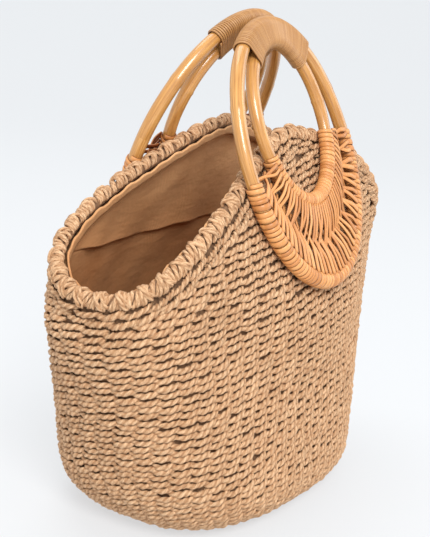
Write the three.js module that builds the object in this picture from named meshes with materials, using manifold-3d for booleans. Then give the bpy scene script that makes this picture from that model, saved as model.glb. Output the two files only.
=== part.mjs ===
// A straw basket bag: a twined straw body with a wavy, rope-like border round its mouth,
// a cotton lining, and two rattan handles. Each handle is an outer and an inner cane ring,
// bound together at the top, with a crescent of cane strips between them at the bottom.
// The two panels are drawn together under the handles, which lean on each other.
// Millimetres. X runs along the bag, -Y is its front, +Z is up, and it stands on z = 0.
import * as THREE from 'three';
import { mergeVertices } from 'three/addons/utils/BufferGeometryUtils.js';
import Module from 'manifold-3d';

const wasm = await Module();
wasm.setup();

// Straw body
const mouthHalfLength = 180;
const mouthHalfDepth = 88;
const mouthSquareness = 2;
const baseHalfLength = 119;
const baseHalfDepth = 80;
const baseSquareness = 2.7;
const nearFootRadius = 40;
const farFootRadius = 24;
const endHeight = 167;
const middleHeight = 255;
const nearFall = 1.38;
const farFall = 1.87;
const frontHollow = 1.15;
const strawWall = 5;
const nearShoulder = 10;
const shoulderDrop = 24;

// How the body's outline bends: the foot's tuck, powers of the height's share, and powers
// of how far the panels' gather spreads along the mouth
const footTuck = 0.9;
const nearBend = 1.14;
const farBend = 1.85;
const depthBend = 1.94;
const drawnBend = 1.8;
const nearGather = 1.2;
const farGather = 0.75;

// Where the panel is flat behind a handle and where it is free, as shares of the ring's size
const flatReach = 1;
const freeReach = 2;

// Border round the mouth, and its row of folded loops
const borderWidth = 12;
const borderHeight = 12;
const borderLoopPitch = 15;
const borderLoopDepth = 1.6;

// Cotton lining, with a facing band above a sewn fold
const liningThickness = 1.2;
const facingThickness = 1.6;
const foldHeight = 176;
const foldDepth = 4;

// Handles. A shift is how far a handle sits towards the far end.
const frontTilt = THREE.MathUtils.degToRad(23.8);
const backTilt = THREE.MathUtils.degToRad(21.6);
const frontHeight = 238.4;
const backHeight = 240.4;
const frontShift = -5;
const backShift = 2;
const outerHalfWidth = 73;
const outerHalfHeight = 83.4;
const outerCane = 9.2;
const innerHalfWidth = 46.5;
const innerHalfHeight = 52.8;
const innerCane = 8.6;

// Cane strip: the windings round both canes, the top binding and the crescent
const windingThickness = 1;
const bindingThickness = 1.6;
const outerWindingTops = { near: -14, far: 11 };
const innerWindingTops = { near: 0, far: 12 };
const outerBindingSpan = THREE.MathUtils.degToRad(35);
const innerBindingSpan = THREE.MathUtils.degToRad(45);
const stripCount = 24;
const stripOuterWidth = 6;
const stripInnerWidth = 3.2;
const stripThickness = 1.8;
const railWidth = 3.4;
const railThickness = 2.4;

// Small gaps between pieces that touch, the border's seat on the wall's faceted top,
// and the slack inside the top binding, which clears the canes' facets
const clearance = 0.3;
const borderSeat = 0.7;
const bindingSlack = 0.75;

// Facets
const columns = 40;
const footRows = 3;
const wallRows = 6;
const caneSides = 8;
const outerCaneSteps = 32;
const innerCaneSteps = 24;
const bindingSteps = 8;
const shortTurn = 0.05;

const outerWrap = outerCane / 2 + windingThickness;
const innerWrap = innerCane / 2 + windingThickness;
const innerRise = outerHalfHeight - outerCane / 2 - clearance - innerCane / 2 - innerHalfHeight;
const handlePlaces = {
  front: { tilt: frontTilt, height: frontHeight, shift: frontShift },
  back: { tilt: backTilt, height: backHeight, shift: backShift },
};

const strawColour = 0xcda57b;
const borderColour = 0xd2ab80;
const liningColour = 0x9c6a42;
const caneColour = 0xdcae6c;
const windingColour = 0xdd9f62;

const { lerp, smoothstep, clamp } = THREE.MathUtils;

/**
 * A closed body through rows of points, joined last to first or capped at both ends.
 * From the fold row on, the facets' diagonals lean the other way, so that a wall's
 * inside, which runs back down, has the same facets as its outside.
 */
function loft(rows, closed, foldRow = rows.length) {
  const sides = rows[0].length;
  const points = rows.flat();
  const faces = [];
  const joins = closed ? rows.length : rows.length - 1;
  for (let row = 0; row < joins; row += 1) {
    const here = row * sides;
    const next = ((row + 1) % rows.length) * sides;
    for (let side = 0; side < sides; side += 1) {
      const turn = (side + 1) % sides;
      if (row < foldRow) {
        faces.push(here + side, here + turn, next + turn);
        faces.push(here + side, next + turn, next + side);
      } else {
        faces.push(here + side, here + turn, next + side);
        faces.push(here + turn, next + turn, next + side);
      }
    }
  }
  if (!closed) {
    capEnd(points, faces, 0, sides, true);
    capEnd(points, faces, (rows.length - 1) * sides, sides, false);
  }
  return facesOutward(points.flatMap((point) => [point.x, point.y, point.z]), faces);
}

/** Closes one end of a loft with a fan round the middle of its row. */
function capEnd(points, faces, first, sides, reversed) {
  const middle = new THREE.Vector3();
  for (let side = 0; side < sides; side += 1) {
    middle.addScaledVector(points[first + side], 1 / sides);
  }
  const centre = points.push(middle) - 1;
  for (let side = 0; side < sides; side += 1) {
    const here = first + side;
    const turn = first + (side + 1) % sides;
    faces.push(centre, reversed ? turn : here, reversed ? here : turn);
  }
}

/** Makes the geometry, turning every face over where the volume comes out negative. */
function facesOutward(positions, faces) {
  const corner = (index) => new THREE.Vector3().fromArray(positions, index * 3);
  let volume = 0;
  for (let face = 0; face < faces.length; face += 3) {
    const [a, b, c] = [corner(faces[face]), corner(faces[face + 1]), corner(faces[face + 2])];
    volume += a.dot(b.cross(c)) / 6;
  }
  const geometry = new THREE.BufferGeometry();
  geometry.setAttribute('position', new THREE.Float32BufferAttribute(positions, 3));
  geometry.setIndex(volume > 0 ? faces : faces.reverse());
  return geometry;
}

function toManifold(geometry) {
  const bare = mergeVertices(geometry, 1e-4);
  return new wasm.Manifold(new wasm.Mesh({
    numProp: 3,
    vertProperties: new Float32Array(bare.getAttribute('position').array),
    triVerts: new Uint32Array(bare.getIndex().array),
  }));
}

function fromManifold(solid) {
  const mesh = solid.getMesh();
  const geometry = new THREE.BufferGeometry();
  geometry.setAttribute('position', new THREE.BufferAttribute(new Float32Array(mesh.vertProperties), 3));
  geometry.setIndex(new THREE.BufferAttribute(new Uint32Array(mesh.triVerts), 1));
  return geometry;
}

function piece(name, geometry, color, roughness) {
  geometry.computeVertexNormals();
  const material = new THREE.MeshStandardMaterial({ color, roughness, metalness: 0 });
  const mesh = new THREE.Mesh(geometry, material);
  mesh.name = name;
  return mesh;
}

/** A point on a superellipse, whose corners grow squarer above a squareness of 2. */
function superellipse(angle, halfLength, halfDepth, squareness) {
  const along = Math.cos(angle);
  const across = Math.sin(angle);
  const x = halfLength * Math.sign(along) * Math.abs(along) ** (2 / squareness);
  const y = halfDepth * Math.sign(across) * Math.abs(across) ** (2 / squareness);
  return new THREE.Vector2(x, y);
}

/** How far a handle's middle is from the bag's middle plane, where the two tops lean. */
function handleDepth(place) {
  return Math.sin(place.tilt) * outerHalfHeight + outerCane / 2 + bindingThickness + clearance / 2;
}

/** How far out the panel's face is at a height where the wound canes lie flat on it. */
function panelSeat(place, height) {
  const plane = handleDepth(place) - Math.tan(place.tilt) * (height - place.height);
  return plane - (outerWrap + clearance) / Math.cos(place.tilt);
}

/**
 * The border's top: low at the two ends and high in the middle of each panel.
 * Towards the near end, at -X, it falls sooner than towards the far end, and soonest in front.
 */
function mouthHeight(mouth) {
  const along = Math.abs(mouth.x) / mouthHalfLength;
  const fall = 1 - along ** (mouth.x < 0 ? nearFall : farFall);
  const hollow = mouth.x < 0 && mouth.y < 0 ? frontHollow : 1;
  return endHeight + (middleHeight - endHeight) * fall ** hollow;
}

/** The foot's radius, which falls towards the far end. */
function footRadiusAt(baseX) {
  return lerp(nearFootRadius, farFootRadius, smoothstep(baseX, -baseHalfLength, baseHalfLength));
}

/**
 * A point on the body's outer face. The rise goes from 0 to 1 round the foot,
 * then from 1 to 2 up the wall. The panels are drawn in towards the mouth's middle,
 * and lie flat behind the handles. At the near end the wall stands out in a shoulder,
 * and its top rolls back in under the border.
 */
function bodyPoint(angle, rise) {
  const mouth = superellipse(angle, mouthHalfLength, mouthHalfDepth, mouthSquareness);
  const base = superellipse(angle, baseHalfLength, baseHalfDepth, baseSquareness);
  const along = Math.abs(mouth.x) / mouthHalfLength;
  const top = mouthHeight(mouth);
  const footRadius = footRadiusAt(base.x);
  const footTurn = Math.min(rise, 1) * Math.PI / 2;
  const footInset = footTuck * footRadius * (1 - Math.sin(footTurn));
  const height = rise < 1
    ? footRadius * (1 - Math.cos(footTurn))
    : lerp(footRadius, top - borderHeight, rise - 1);
  const spread = height / endHeight;
  const lip = smoothstep(height, top - borderHeight - shoulderDrop, top - borderHeight);
  const shoulder = Math.min(mouth.x / mouthHalfLength, 0) ** 2 * nearShoulder * (1 - lip);
  const reach = spread ** (mouth.x < 0 ? nearBend : farBend);
  const x = lerp(base.x, mouth.x - shoulder, reach) * (1 - footInset / baseHalfLength);
  const fullDepth = lerp(base.y, mouth.y, Math.min(spread, 1) ** depthBend);
  const place = mouth.y < 0 ? handlePlaces.front : handlePlaces.back;
  const fullDraw = 1 - panelSeat(place, middleHeight) / mouthHalfDepth;
  const gather = (1 - along ** 2) ** (mouth.x < 0 ? nearGather : farGather);
  const drawn = (height / top) ** drawnBend * gather * fullDraw;
  const depth = Math.abs(fullDepth) * (1 - footInset / baseHalfDepth) * (1 - drawn);
  const ringDrop = (height - place.height) / (outerHalfHeight * Math.cos(place.tilt));
  const ringShare = Math.hypot((x - place.shift) / outerHalfWidth, ringDrop);
  const pressed = 1 - smoothstep(ringShare, flatReach, freeReach);
  const y = Math.sign(fullDepth) * lerp(depth, panelSeat(place, height), pressed);
  return new THREE.Vector3(x, y, height);
}

/** The outward direction of the body's outer face. */
function bodyNormal(angle, rise) {
  const step = 0.01;
  const around = bodyPoint(angle + step, rise).sub(bodyPoint(angle - step, rise));
  const lower = bodyPoint(angle, Math.max(rise - step, 0));
  const upward = bodyPoint(angle, Math.min(rise + step, 2)).sub(lower);
  return around.cross(upward).normalize();
}

/** A row of points round the bag, a given depth inside the body's outer face. */
function bodyRow(rise, depth) {
  return Array.from({ length: columns }, (_, column) => {
    const angle = (column + 0.5) / columns * 2 * Math.PI;
    return bodyPoint(angle, rise).addScaledVector(bodyNormal(angle, rise), -depth);
  });
}

/** The rises of the rows from the flat of the base to the wall's top. */
function bodyRises() {
  const foot = Array.from({ length: footRows }, (_, row) => row / footRows);
  const wall = Array.from({ length: wallRows + 1 }, (_, row) => 1 + row / wallRows);
  return [...foot, ...wall];
}

function basketBody() {
  const outside = bodyRises().map((rise) => bodyRow(rise, 0));
  const inside = bodyRises().reverse().map((rise) => bodyRow(rise, strawWall));
  return loft([...outside, ...inside], false, outside.length);
}

/** Angles round the mouth, an even length of border apart. */
function borderAngles(pitch) {
  const samples = 720;
  const lengths = [0];
  for (let sample = 1; sample <= samples; sample += 1) {
    const here = bodyPoint(sample / samples * 2 * Math.PI, 2);
    const before = bodyPoint((sample - 1) / samples * 2 * Math.PI, 2);
    lengths.push(lengths[sample - 1] + here.distanceTo(before));
  }
  const count = Math.round(lengths[samples] / pitch);
  return Array.from({ length: count }, (_, index) => {
    const target = index / count * lengths[samples];
    const after = Math.max(lengths.findIndex((length) => length > target), 1);
    const share = (target - lengths[after - 1]) / (lengths[after] - lengths[after - 1]);
    return (after - 1 + share) / samples * 2 * Math.PI;
  });
}

/** The border: a closed rope on the wall's top, fat at each folded loop and thin between. */
function mouthBorder() {
  const sides = 6;
  const rows = borderAngles(borderLoopPitch / 2).map((angle, index) => {
    const inward = bodyNormal(angle, 2).negate();
    const path = bodyPoint(angle + 0.01, 2).sub(bodyPoint(angle - 0.01, 2)).normalize();
    const upward = path.clone().cross(inward).normalize();
    const waist = index % 2 === 0 ? 0 : borderLoopDepth;
    const middle = bodyPoint(angle, 2)
      .addScaledVector(inward, borderWidth / 2)
      .addScaledVector(upward, borderHeight / 2 + borderSeat);
    return Array.from({ length: sides }, (_, side) => {
      const turn = (side + 0.5) / sides * 2 * Math.PI;
      return middle.clone()
        .addScaledVector(inward, (borderWidth - waist) / 2 * Math.cos(turn))
        .addScaledVector(upward, (borderHeight - waist) / 2 * Math.sin(turn));
    });
  });
  return loft(rows, true);
}

/**
 * The lining: a thin bag inside the body. Above the fold it is a double facing band,
 * and at the fold it stands off the wall.
 */
function cottonLining() {
  const face = strawWall + clearance;
  const outside = bodyRises().map((rise) => bodyRow(rise, face));
  const foldRow = (depth, drop) => Array.from({ length: columns }, (_, column) => {
    const angle = (column + 0.5) / columns * 2 * Math.PI;
    const wallTop = bodyPoint(angle, 2).z;
    const footRadius = bodyPoint(angle, 1).z;
    const height = Math.min(foldHeight, wallTop - 2 * foldDepth) - drop;
    const rise = 1 + clamp((height - footRadius) / (wallTop - footRadius), 0, 1);
    return bodyPoint(angle, rise).addScaledVector(bodyNormal(angle, rise), -depth);
  });
  const inside = [
    bodyRow(2, face + facingThickness),
    foldRow(face + facingThickness, -foldDepth / 2),
    foldRow(face + liningThickness + foldDepth, 0),
    foldRow(face + liningThickness, foldDepth),
    ...[1.35, 0.9, 0.45, 0].map((rise) => bodyRow(rise, face + liningThickness)),
  ];
  return loft([...outside, ...inside], false, outside.length);
}

/** A point on a handle ring's centre line, in the handle's own plane. */
function outerRingPoint(turn) {
  return new THREE.Vector3(outerHalfWidth * Math.cos(turn), outerHalfHeight * Math.sin(turn), 0);
}

function innerRingPoint(turn) {
  const y = innerRise + innerHalfHeight * Math.sin(turn);
  return new THREE.Vector3(innerHalfWidth * Math.cos(turn), y, 0);
}

/** A many-sided section square to a ring at a turn. */
function ringSection(ringPoint, turn, radius) {
  const path = ringPoint(turn + 0.01).sub(ringPoint(turn - 0.01)).normalize();
  const outward = new THREE.Vector3(path.y, -path.x, 0);
  return Array.from({ length: caneSides }, (_, side) => {
    const angle = (side + 0.5) / caneSides * 2 * Math.PI;
    return ringPoint(turn)
      .addScaledVector(outward, radius * Math.cos(angle))
      .add(new THREE.Vector3(0, 0, radius * Math.sin(angle)));
  });
}

/** A whole ring of cane. */
function caneRing(ringPoint, radius, steps) {
  const turns = Array.from({ length: steps }, (_, step) => step / steps * 2 * Math.PI);
  return loft(turns.map((turn) => ringSection(ringPoint, turn, radius)), true);
}

/** The turns of a ring where its winding starts on the left and ends on the right. */
function windingTurns(rise, halfHeight, tops, left, right) {
  const dip = (top) => Math.asin(clamp((rise - top) / halfHeight, -1, 1));
  return [Math.PI + dip(tops[left]), 2 * Math.PI - dip(tops[right])];
}

/** A winding round the lower stretch of a ring, with rows where the cane has them. */
function winding(ringPoint, radius, steps, [start, end]) {
  const stepTurns = Array.from({ length: steps }, (_, step) => step / steps * 2 * Math.PI);
  const between = stepTurns.filter((turn) => turn > start + shortTurn && turn < end - shortTurn);
  return loft([start, ...between, end].map((turn) => ringSection(ringPoint, turn, radius)), false);
}

/** A flat section at a point of the handle's plane, square to a path in that plane. */
function flatSection(middle, path, width, thickness) {
  const across = new THREE.Vector3(path.y, -path.x, 0).normalize();
  return [[-1, -1], [1, -1], [1, 1], [-1, 1]].map(([side, face]) => middle.clone()
    .addScaledVector(across, side * width / 2)
    .add(new THREE.Vector3(0, 0, face * thickness / 2)));
}

/** A strip from the outer cane's winding to the inner one's, narrower towards the inner. */
function strip(outerEnd, innerEnd) {
  const run = innerEnd.clone().sub(outerEnd).normalize();
  const start = outerEnd.clone().addScaledVector(run, outerWrap - windingThickness / 2);
  const end = innerEnd.clone().addScaledVector(run, windingThickness / 2 - innerWrap);
  return loft([
    flatSection(start, run, stripOuterWidth, stripThickness),
    flatSection(end, run, stripInnerWidth, stripThickness),
  ], false);
}

/** The rail that the strips cross on, halfway across the crescent. */
function middleRail(middles) {
  return loft(middles.map((middle, index) => {
    const before = middles[Math.max(index - 1, 0)];
    const after = middles[Math.min(index + 1, middles.length - 1)];
    return flatSection(middle, after.clone().sub(before), railWidth, railThickness);
  }), false);
}

/** The space that both canes take, with the gap round them. */
function caneSpace() {
  const outer = toManifold(caneRing(outerRingPoint, outerCane / 2 + clearance, outerCaneSteps));
  const inner = toManifold(caneRing(innerRingPoint, innerCane / 2 + clearance, innerCaneSteps));
  return outer.add(inner);
}

/**
 * The crescent: both windings, the strips between them and the rail that they cross on.
 * Left and right name the bag's near and far ends, as seen from outside.
 */
function crescentWeb(left, right) {
  const outerTurns = windingTurns(0, outerHalfHeight, outerWindingTops, left, right);
  const innerTurns = windingTurns(innerRise, innerHalfHeight, innerWindingTops, left, right);
  let solid = toManifold(winding(outerRingPoint, outerWrap, outerCaneSteps, outerTurns));
  solid = solid.add(toManifold(winding(innerRingPoint, innerWrap, innerCaneSteps, innerTurns)));
  const middles = [];
  for (let index = 0; index < stripCount; index += 1) {
    const share = (index + 0.5) / stripCount;
    const outerEnd = outerRingPoint(lerp(...outerTurns, share));
    const innerEnd = innerRingPoint(lerp(...innerTurns, share));
    solid = solid.add(toManifold(strip(outerEnd, innerEnd)));
    middles.push(outerEnd.lerp(innerEnd, 0.5));
  }
  solid = solid.add(toManifold(middleRail(middles)));
  return fromManifold(solid.subtract(caneSpace()));
}

/**
 * A row round both canes, a share of the binding's half span from its middle: half rounds
 * on the outer and the inner cane, a given distance off them, joined by flats.
 */
function bindingRow(share, offset) {
  const outer = outerRingPoint(Math.PI / 2 + share * outerBindingSpan);
  const inner = innerRingPoint(Math.PI / 2 + share * innerBindingSpan);
  const outward = outer.clone().sub(inner).normalize();
  const bends = [-67.5, -22.5, 22.5, 67.5].map(THREE.MathUtils.degToRad);
  const halfRound = (middle, radius, sense) => bends.map((bend) => middle.clone()
    .addScaledVector(outward, sense * radius * Math.cos(bend))
    .add(new THREE.Vector3(0, 0, sense * radius * Math.sin(bend))));
  const outerRound = halfRound(outer, outerCane / 2 + offset, 1);
  return [...outerRound, ...halfRound(inner, innerCane / 2 + offset, -1)];
}

/** The binding round both canes at the top: a rounded sleeve that widens to its two ends. */
function topBinding() {
  const rows = (reach, offset) => Array.from({ length: bindingSteps + 1 }, (_, step) => {
    return bindingRow(lerp(reach, -reach, step / bindingSteps), offset);
  });
  const sleeve = toManifold(loft(rows(1, bindingThickness), false));
  const hollow = toManifold(loft(rows(1 + shortTurn, bindingSlack), false));
  return fromManifold(sleeve.subtract(hollow));
}

/** One handle, standing in its own plane, tilted so that its top leans to the middle. */
function handle(side, left, right) {
  const group = new THREE.Group();
  const outerRing = caneRing(outerRingPoint, outerCane / 2, outerCaneSteps);
  const innerRing = caneRing(innerRingPoint, innerCane / 2, innerCaneSteps);
  group.add(piece(`${side}_outer_ring`, outerRing, caneColour, 0.35));
  group.add(piece(`${side}_inner_ring`, innerRing, caneColour, 0.35));
  group.add(piece(`${side}_top_binding`, topBinding(), windingColour, 0.5));
  group.add(piece(`${side}_crescent_web`, crescentWeb(left, right), windingColour, 0.5));
  const place = handlePlaces[side];
  group.rotation.x = Math.PI / 2 - place.tilt;
  group.position.set(left === 'near' ? place.shift : -place.shift, -handleDepth(place), place.height);
  return group;
}

const bag = new THREE.Group();
bag.name = 'straw_basket_bag';
bag.add(piece('basket_body', basketBody(), strawColour, 0.85));
bag.add(piece('mouth_border', mouthBorder(), borderColour, 0.85));
bag.add(piece('cotton_lining', cottonLining(), liningColour, 0.95));
bag.add(handle('front', 'near', 'far'));
const backSide = new THREE.Group();
backSide.rotation.z = Math.PI;
backSide.add(handle('back', 'far', 'near'));
bag.add(backSide);

export default bag;
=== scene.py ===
import math

import bpy
import numpy as np
from mathutils import Matrix, Vector


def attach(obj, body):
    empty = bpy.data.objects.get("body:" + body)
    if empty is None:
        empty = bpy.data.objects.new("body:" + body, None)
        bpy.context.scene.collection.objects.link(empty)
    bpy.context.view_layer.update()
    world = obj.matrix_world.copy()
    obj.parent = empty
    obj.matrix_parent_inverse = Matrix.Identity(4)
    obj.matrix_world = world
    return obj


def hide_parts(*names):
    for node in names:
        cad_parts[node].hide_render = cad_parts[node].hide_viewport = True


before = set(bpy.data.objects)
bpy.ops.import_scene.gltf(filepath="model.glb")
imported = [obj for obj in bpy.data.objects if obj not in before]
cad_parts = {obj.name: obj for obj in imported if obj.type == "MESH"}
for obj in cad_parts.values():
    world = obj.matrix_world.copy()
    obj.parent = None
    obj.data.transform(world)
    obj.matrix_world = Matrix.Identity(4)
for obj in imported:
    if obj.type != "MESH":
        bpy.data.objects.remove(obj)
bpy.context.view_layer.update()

# Sizes are millimetres, as in the solids, and meshes are turned to metres when they are made
MM = 0.001

# Straw body
MOUTH_HALF_LENGTH = 180
MOUTH_HALF_DEPTH = 88
MOUTH_SQUARENESS = 2
BASE_HALF_LENGTH = 119
BASE_HALF_DEPTH = 80
BASE_SQUARENESS = 2.7
NEAR_FOOT_RADIUS = 40
FAR_FOOT_RADIUS = 24
END_HEIGHT = 167
MIDDLE_HEIGHT = 255
NEAR_FALL = 1.38
FAR_FALL = 1.87
FRONT_HOLLOW = 1.15
STRAW_WALL = 5
NEAR_SHOULDER = 10
SHOULDER_DROP = 24

# How the body's outline bends
FOOT_TUCK = 0.9
NEAR_BEND = 1.14
FAR_BEND = 1.85
DEPTH_BEND = 1.94
DRAWN_BEND = 1.8
NEAR_GATHER = 1.2
FAR_GATHER = 0.75
FLAT_REACH = 1
FREE_REACH = 2

# Border and lining
BORDER_WIDTH = 12
BORDER_HEIGHT = 12
BORDER_SEAT = 0.7
BORDER_LOOP_PITCH = 15
FOLD_HEIGHT = 176
FOLD_DEPTH = 4
LINING_THICKNESS = 1.2
FACING_THICKNESS = 1.6
CLEARANCE = 0.3

# Handles. A shift is how far a handle sits towards the far end.
OUTER_HALF_WIDTH = 73
OUTER_HALF_HEIGHT = 83.4
OUTER_CANE = 9.2
INNER_HALF_WIDTH = 46.5
INNER_HALF_HEIGHT = 52.8
INNER_CANE = 8.6
WINDING_THICKNESS = 1
BINDING_THICKNESS = 1.6
OUTER_WINDING_TOPS = {"near": -14, "far": 11}
INNER_WINDING_TOPS = {"near": 0, "far": 12}
OUTER_BINDING_SPAN = math.radians(35)
INNER_BINDING_SPAN = math.radians(45)
OUTER_WRAP = OUTER_CANE / 2 + WINDING_THICKNESS
INNER_WRAP = INNER_CANE / 2 + WINDING_THICKNESS
INNER_RISE = OUTER_HALF_HEIGHT - OUTER_CANE / 2 - CLEARANCE - INNER_CANE / 2 - INNER_HALF_HEIGHT
HANDLES = {
    "front": {
        "side": -1, "tilt": math.radians(23.8), "height": 238.4, "shift": -5,
        "left": "near", "right": "far",
    },
    "back": {
        "side": 1, "tilt": math.radians(21.6), "height": 240.4, "shift": 2,
        "left": "far", "right": "near",
    },
}

# Weave: warps round the wall and the base, rows of stitches, and the rows along the rim
COLUMNS = 58
BASE_COLUMNS = 29
ROW_PITCH = 5.0
RIM_ROWS = 2
BASE_DEPTH = 46

# A stitch: its reach as a share of the pitch to each side, how far its middle stands out of
# the body's face, which is negative under the base so that it clears the floor, how far its
# ends dive in, rise and sag, and how deep and how long the twist of its two plies is
STITCH_REACH = 0.66
STITCH_CREST = 0.6
BASE_CREST = -0.35
CREST_RISE = 20
STITCH_DIVE = 2.5
STITCH_SLANT = 1.15
STITCH_SAG = 0.5
CORD_HALF_HEIGHT = 2.35
CORD_HALF_DEPTH = 1.7
PLY_GROOVE = 0.3
PLY_LAY = 9.0
STITCH_RINGS = 11
CORD_SIDES = 8

# The camera, from the photo's outlines: millimetres and degrees
VIEW_TURN = math.radians(62.25)
VIEW_RISE = math.radians(14.31)
VIEW_ROLL = math.radians(-6.49)
VIEW_DISTANCE = 810.3
VIEW_TARGET = (-6.89, 10.54, 150.55)
VIEW_LENS_PIXELS = 1200
PHOTO_HEIGHT_PIXELS = 537
SENSOR = 36

# How much painted shade darkens a strip's colour across its section: from one edge over its crown to
# the other, and below
EDGE_SHADE = np.array([1, 0.3, 0, 0.3, 1, 1])

WHITE = (1, 1, 1)

random = np.random.RandomState(11)


def lerp(low, high, share):
    return low + (high - low) * share


def smoothstep(value, low, high):
    share = np.clip((value - low) / (high - low), 0, 1)
    return share * share * (3 - 2 * share)


def unit(vectors):
    return vectors / np.maximum(np.linalg.norm(vectors, axis=-1, keepdims=True), 1e-9)


def superellipse(angle, half_length, half_depth, squareness):
    power = 2 / squareness
    x = half_length * np.sign(np.cos(angle)) * np.abs(np.cos(angle)) ** power
    y = half_depth * np.sign(np.sin(angle)) * np.abs(np.sin(angle)) ** power
    return x, y


def handle_depth(place):
    """How far a handle's middle is from the bag's middle plane."""
    lean = math.sin(place["tilt"]) * OUTER_HALF_HEIGHT
    return lean + OUTER_CANE / 2 + BINDING_THICKNESS + CLEARANCE / 2


def panel_seat(place, height):
    """How far out the panel's face is at a height where the wound canes lie on it."""
    plane = handle_depth(place) - math.tan(place["tilt"]) * (height - place["height"])
    return plane - (OUTER_WRAP + CLEARANCE) / math.cos(place["tilt"])


def mouth_height(mouth_x, mouth_y):
    """The border's top: low at the two ends, and it falls sooner towards the near end."""
    along = np.minimum(np.abs(mouth_x) / MOUTH_HALF_LENGTH, 1)
    fall = 1 - along ** np.where(mouth_x < 0, NEAR_FALL, FAR_FALL)
    hollow = np.where((mouth_x < 0) & (mouth_y < 0), FRONT_HOLLOW, 1)
    return END_HEIGHT + (MIDDLE_HEIGHT - END_HEIGHT) * fall**hollow


def foot_radius_at(base_x):
    share = smoothstep(base_x, -BASE_HALF_LENGTH, BASE_HALF_LENGTH)
    return lerp(NEAR_FOOT_RADIUS, FAR_FOOT_RADIUS, share)


def body_point(angle, rise):
    """A point on the body's outer face: the rise goes 0 to 1 round the foot, then to 2 up the wall."""
    mouth_x, mouth_y = superellipse(angle, MOUTH_HALF_LENGTH, MOUTH_HALF_DEPTH, MOUTH_SQUARENESS)
    base_x, base_y = superellipse(angle, BASE_HALF_LENGTH, BASE_HALF_DEPTH, BASE_SQUARENESS)
    along = np.abs(mouth_x) / MOUTH_HALF_LENGTH
    top = mouth_height(mouth_x, mouth_y)
    foot_radius = foot_radius_at(base_x)
    foot_turn = np.minimum(rise, 1) * math.pi / 2
    foot_inset = FOOT_TUCK * foot_radius * (1 - np.sin(foot_turn))
    foot_height = foot_radius * (1 - np.cos(foot_turn))
    height = np.where(rise < 1, foot_height, lerp(foot_radius, top - BORDER_HEIGHT, rise - 1))
    spread = height / END_HEIGHT
    lip = smoothstep(height, top - BORDER_HEIGHT - SHOULDER_DROP, top - BORDER_HEIGHT)
    shoulder = np.minimum(mouth_x / MOUTH_HALF_LENGTH, 0) ** 2 * NEAR_SHOULDER * (1 - lip)
    reach = spread ** np.where(mouth_x < 0, NEAR_BEND, FAR_BEND)
    x = lerp(base_x, mouth_x - shoulder, reach) * (1 - foot_inset / BASE_HALF_LENGTH)
    full_depth = lerp(base_y, mouth_y, np.minimum(spread, 1) ** DEPTH_BEND)
    gather = (1 - np.minimum(along, 1) ** 2) ** np.where(mouth_x < 0, NEAR_GATHER, FAR_GATHER)
    depths = []
    for place in (HANDLES["front"], HANDLES["back"]):
        full_draw = 1 - panel_seat(place, MIDDLE_HEIGHT) / MOUTH_HALF_DEPTH
        drawn = (height / top) ** DRAWN_BEND * gather * full_draw
        depth = np.abs(full_depth) * (1 - foot_inset / BASE_HALF_DEPTH) * (1 - drawn)
        ring_drop = (height - place["height"]) / (OUTER_HALF_HEIGHT * math.cos(place["tilt"]))
        ring_share = np.hypot((x - place["shift"]) / OUTER_HALF_WIDTH, ring_drop)
        pressed = 1 - smoothstep(ring_share, FLAT_REACH, FREE_REACH)
        depths.append(lerp(depth, panel_seat(place, height), pressed))
    y = np.sign(full_depth) * np.where(mouth_y < 0, depths[0], depths[1])
    return np.stack(np.broadcast_arrays(x, y, height), -1)


class Surface:
    """Points evenly spaced round the bag and up it, read anywhere by turn, height and depth."""

    def __init__(self, points, step, tops):
        self.points = points
        self.step = step
        self.tops = tops
        around = np.roll(points, -1, 1) - np.roll(points, 1, 1)
        upward = np.gradient(points, axis=0)
        self.normals = unit(np.cross(around, upward))

    def read(self, grid, turn, height):
        rows, columns = grid.shape[:2]
        across = np.mod(turn, 1) * columns
        up = np.clip(height / self.step, 0, rows - 1.001)
        left = np.floor(across).astype(int)
        low = np.floor(up).astype(int)
        across_share = (across - left)[..., None]
        left = left % columns
        right = (left + 1) % columns
        lower = lerp(grid[low, left], grid[low, right], across_share)
        upper = lerp(grid[low + 1, left], grid[low + 1, right], across_share)
        return lerp(lower, upper, (up - low)[..., None])

    def normal(self, turn, height):
        return unit(self.read(self.normals, turn, height))

    def at(self, turn, height, out):
        turn, height, out = np.broadcast_arrays(turn, height, out)
        return self.read(self.points, turn, height) + self.normal(turn, height) * out[..., None]

    def top(self, turn):
        """The height, along the wall, of the wall's top at a turn."""
        columns = len(self.tops)
        across = np.mod(turn, 1) * columns
        return np.interp(across, np.arange(columns + 1), np.append(self.tops, self.tops[0]))


def wall_surface():
    """The wall and the foot, with equal shares of each level's length round the bag."""
    step = 1.5
    over = 12
    columns = COLUMNS * 6
    angles = np.linspace(0, 2 * math.pi, 1441)
    foot_rises = np.linspace(0, 1, 24)[:-1]
    rises = np.concatenate([foot_rises, np.linspace(1, 2, 70)])
    turns = np.arange(columns) / columns
    levels = []
    for rise in rises:
        line = body_point(angles, np.full_like(angles, rise))
        run = np.cumsum(np.linalg.norm(np.diff(line, axis=0), axis=1))
        run = np.append(0, run)
        level_angles = np.interp(turns * run[-1], run, angles)
        levels.append(body_point(level_angles, np.full_like(level_angles, rise)))
    levels = np.array(levels)
    climbs = np.cumsum(np.linalg.norm(np.diff(levels, axis=0), axis=2), axis=0)
    climbs = np.concatenate([np.zeros((1, len(turns))), climbs])
    heights = np.arange(0, climbs[-1].max() + over, step)
    beyond = levels[-1] + unit(levels[-1] - levels[-2]) * over
    grid = np.zeros((len(heights), len(turns), 3))
    for column in range(len(turns)):
        run = np.append(climbs[:, column], climbs[-1, column] + over)
        line = np.vstack([levels[:, column], beyond[column]])
        for axis in range(3):
            grid[:, column, axis] = np.interp(heights, run, line[:, axis])
    return Surface(grid, step, climbs[-1])


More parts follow.
